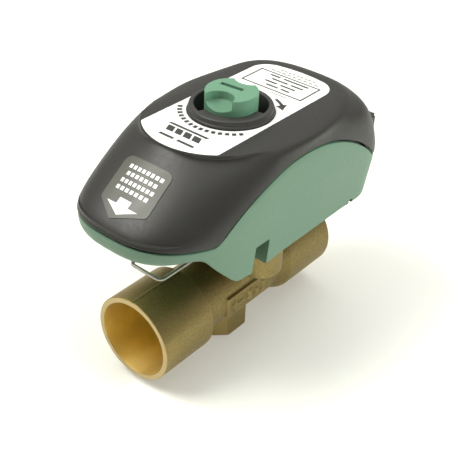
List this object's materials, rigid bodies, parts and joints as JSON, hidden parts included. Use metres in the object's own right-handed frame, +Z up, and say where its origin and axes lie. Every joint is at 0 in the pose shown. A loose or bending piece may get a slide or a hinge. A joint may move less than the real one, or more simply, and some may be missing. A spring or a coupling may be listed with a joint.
{
  "type": "motorised zone valve",
  "caption": "Two-way brass ball valve with solder sockets in line and a clip-on gear-motor actuator with a green base, a dark domed cover and a manual override knob.",
  "frame": {"origin": "on the underside of the square boss that the valve stands on, straight below the axis of the knob, output shaft and valve stem", "axes": "+Z up along the stem, +X along the waterway towards the rear socket, with the nose, the retaining clip and the front socket at -X"},
  "size_m": [0.1182, 0.06, 0.0985],
  "materials": {
    "brass_cast": "satin, sand cast with a fine grain",
    "brass_turned": "turned, lightly brushed",
    "chrome_ball": "polished",
    "steel": "plain, lightly brushed",
    "seat_white": "waxy white fluoropolymer",
    "rubber": "matt",
    "green_plastic": "satin moulded, sea green",
    "knob_green": "satin moulded, green",
    "charcoal_plastic": "satin moulded with a fine spark-eroded grain",
    "black_plastic": "satin moulded",
    "label_white": "semi-gloss film",
    "label_grey": "semi-gloss film",
    "acetal": "satin moulded",
    "board_green": "solder resist",
    "sleeve": "shrink sleeve"
  },
  "bodies": {
    "valve": {"valve_body": "brass_cast", "end_piece": "brass_turned", "end_seal": "rubber", "seat_front": "seat_white", "seat_rear": "seat_white", "thrust_washer": "seat_white", "stem_seal_1": "rubber", "stem_seal_2": "rubber"},
    "ball_stem": {"ball": "chrome_ball", "valve_stem": "steel"},
    "actuator": {"base_tray": "green_plastic", "cover": "charcoal_plastic", "collar_ring": "black_plastic", "top_label": "label_white", "front_label": "label_grey", "output_bushing": "acetal", "idler_pin_1": "steel", "idler_pin_2": "steel", "gear_plate": "steel", "motor": "steel", "circuit_board": "board_green", "capacitor_1": "sleeve", "capacitor_2": "sleeve", "relay": "black_plastic", "controller_chip": "black_plastic", "terminal_block": "black_plastic", "cover_screw_1": "steel", "cover_screw_2": "steel", "cover_screw_3": "steel", "cover_screw_4": "steel", "plate_screw_1": "steel", "plate_screw_2": "steel", "plate_screw_3": "steel", "motor_screw_1": "steel", "motor_screw_2": "steel", "board_screw_1": "steel", "board_screw_2": "steel"},
    "output": {"output_shaft": "steel", "output_gear": "acetal", "drive_coupling": "steel", "knob_spring": "steel"},
    "knob": {"override_knob": "knob_green"},
    "idler_1": {"idler_gear_1": "acetal"},
    "idler_2": {"idler_gear_2": "acetal"},
    "motor_rotor": {"motor_pinion": "brass_turned"},
    "clip": {"retaining_clip": "steel"},
    "lever_1": {"terminal_lever_1": "black_plastic"},
    "lever_2": {"terminal_lever_2": "black_plastic"},
    "lever_3": {"terminal_lever_3": "black_plastic"},
    "lever_4": {"terminal_lever_4": "black_plastic"},
    "lever_5": {"terminal_lever_5": "black_plastic"},
    "lever_6": {"terminal_lever_6": "black_plastic"}
  },
  "joints": [
    {"name": "actuator_lift", "type": "slide", "parent": "valve", "child": "actuator", "axis": [0, 0, 1], "range_m": [0, 0.04]},
    {"name": "output_turn", "type": "hinge", "parent": "actuator", "child": "output", "pos_m": [0, 0, 0.06], "axis": [0, 0, 1], "range_deg": [0, 90]},
    {"name": "ball_turn", "type": "hinge", "parent": "valve", "child": "ball_stem", "pos_m": [0, 0, 0.03], "axis": [0, 0, 1], "range_deg": [0, 90]},
    {"name": "idler_1_turn", "type": "hinge", "parent": "actuator", "child": "idler_1", "pos_m": [-0.02, 0, 0.06], "axis": [0, 0, 1], "range_deg": [-360.01, 0]},
    {"name": "idler_2_turn", "type": "hinge", "parent": "actuator", "child": "idler_2", "pos_m": [-0.0263, 0.01091, 0.06], "axis": [0, 0, 1], "range_deg": [0, 1152.01]},
    {"name": "motor_turn", "type": "hinge", "parent": "actuator", "child": "motor_rotor", "pos_m": [-0.03107, 0.00156, 0.065], "axis": [0, 0, 1], "range_deg": [-3686.41, 0]},
    {"name": "knob_push", "type": "slide", "parent": "output", "child": "knob", "axis": [0, 0, -1], "range_m": [0, 0.003], "stiffness_N_per_m": 600, "springref_m": -0.003, "deforming": ["knob_spring"]},
    {"name": "clip_push", "type": "slide", "parent": "actuator", "child": "clip", "axis": [1, 0, 0], "range_m": [0, 0.004], "stiffness_N_per_m": 400, "springref_m": -0.003},
    {"name": "lever_1_press", "type": "hinge", "parent": "actuator", "child": "lever_1", "pos_m": [0.0509, -0.0205, 0.0749], "axis": [0, 1, 0], "range_deg": [0, 10], "stiffness_Nm_per_rad": 0.02, "springref_deg": -20.05},
    {"name": "lever_2_press", "type": "hinge", "parent": "actuator", "child": "lever_2", "pos_m": [0.0509, -0.0123, 0.0749], "axis": [0, 1, 0], "range_deg": [0, 10], "stiffness_Nm_per_rad": 0.02, "springref_deg": -20.05},
    {"name": "lever_3_press", "type": "hinge", "parent": "actuator", "child": "lever_3", "pos_m": [0.0509, -0.0041, 0.0749], "axis": [0, 1, 0], "range_deg": [0, 10], "stiffness_Nm_per_rad": 0.02, "springref_deg": -20.05},
    {"name": "lever_4_press", "type": "hinge", "parent": "actuator", "child": "lever_4", "pos_m": [0.0509, 0.0041, 0.0749], "axis": [0, 1, 0], "range_deg": [0, 10], "stiffness_Nm_per_rad": 0.02, "springref_deg": -20.05},
    {"name": "lever_5_press", "type": "hinge", "parent": "actuator", "child": "lever_5", "pos_m": [0.0509, 0.0123, 0.0749], "axis": [0, 1, 0], "range_deg": [0, 10], "stiffness_Nm_per_rad": 0.02, "springref_deg": -20.05},
    {"name": "lever_6_press", "type": "hinge", "parent": "actuator", "child": "lever_6", "pos_m": [0.0509, 0.0205, 0.0749], "axis": [0, 1, 0], "range_deg": [0, 10], "stiffness_Nm_per_rad": 0.02, "springref_deg": -20.05}
  ],
  "couplings": [
    {"joint": "ball_turn", "follows": "output_turn", "ratio": 1},
    {"joint": "idler_1_turn", "follows": "output_turn", "ratio": -4},
    {"joint": "idler_2_turn", "follows": "output_turn", "ratio": 12.8},
    {"joint": "motor_turn", "follows": "output_turn", "ratio": -40.96}
  ]
}
